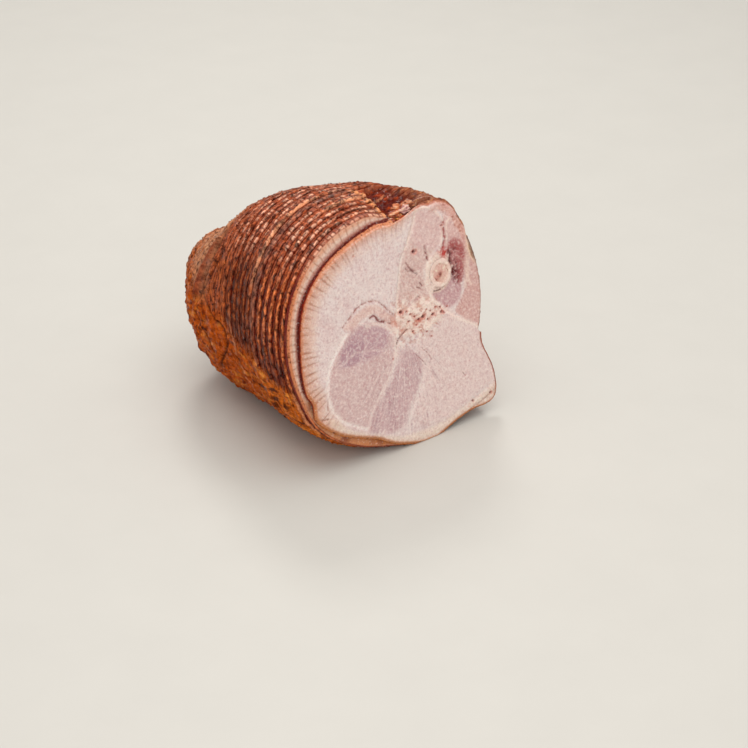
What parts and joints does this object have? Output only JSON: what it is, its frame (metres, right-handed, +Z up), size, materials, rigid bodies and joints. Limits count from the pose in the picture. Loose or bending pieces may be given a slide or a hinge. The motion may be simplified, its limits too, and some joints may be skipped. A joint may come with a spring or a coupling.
{
  "type": "spiral cut ham",
  "caption": "Bone-in half ham with a glazed crust, spiral cut around the bone, lying on its side with its pink butt face showing.",
  "frame": {"origin": "middle of the ham's box at the height of the surface it lies on", "axes": "+Z up, -Y out of the butt face, +Y towards the shank, +X to the right seen from the front"},
  "size_m": [0.1916, 0.2314, 0.1806],
  "materials": {
    "ham": "glazed mottled brown crust over moist pale pink meat with a cream fat rim",
    "bone": "moist cream sawn bone",
    "marrow": "moist pinkish spongy marrow with a red-brown spot"
  },
  "bodies": {
    "root": {"ham_meat": "ham", "bone": "bone", "marrow": "marrow"}
  },
  "joints": []
}
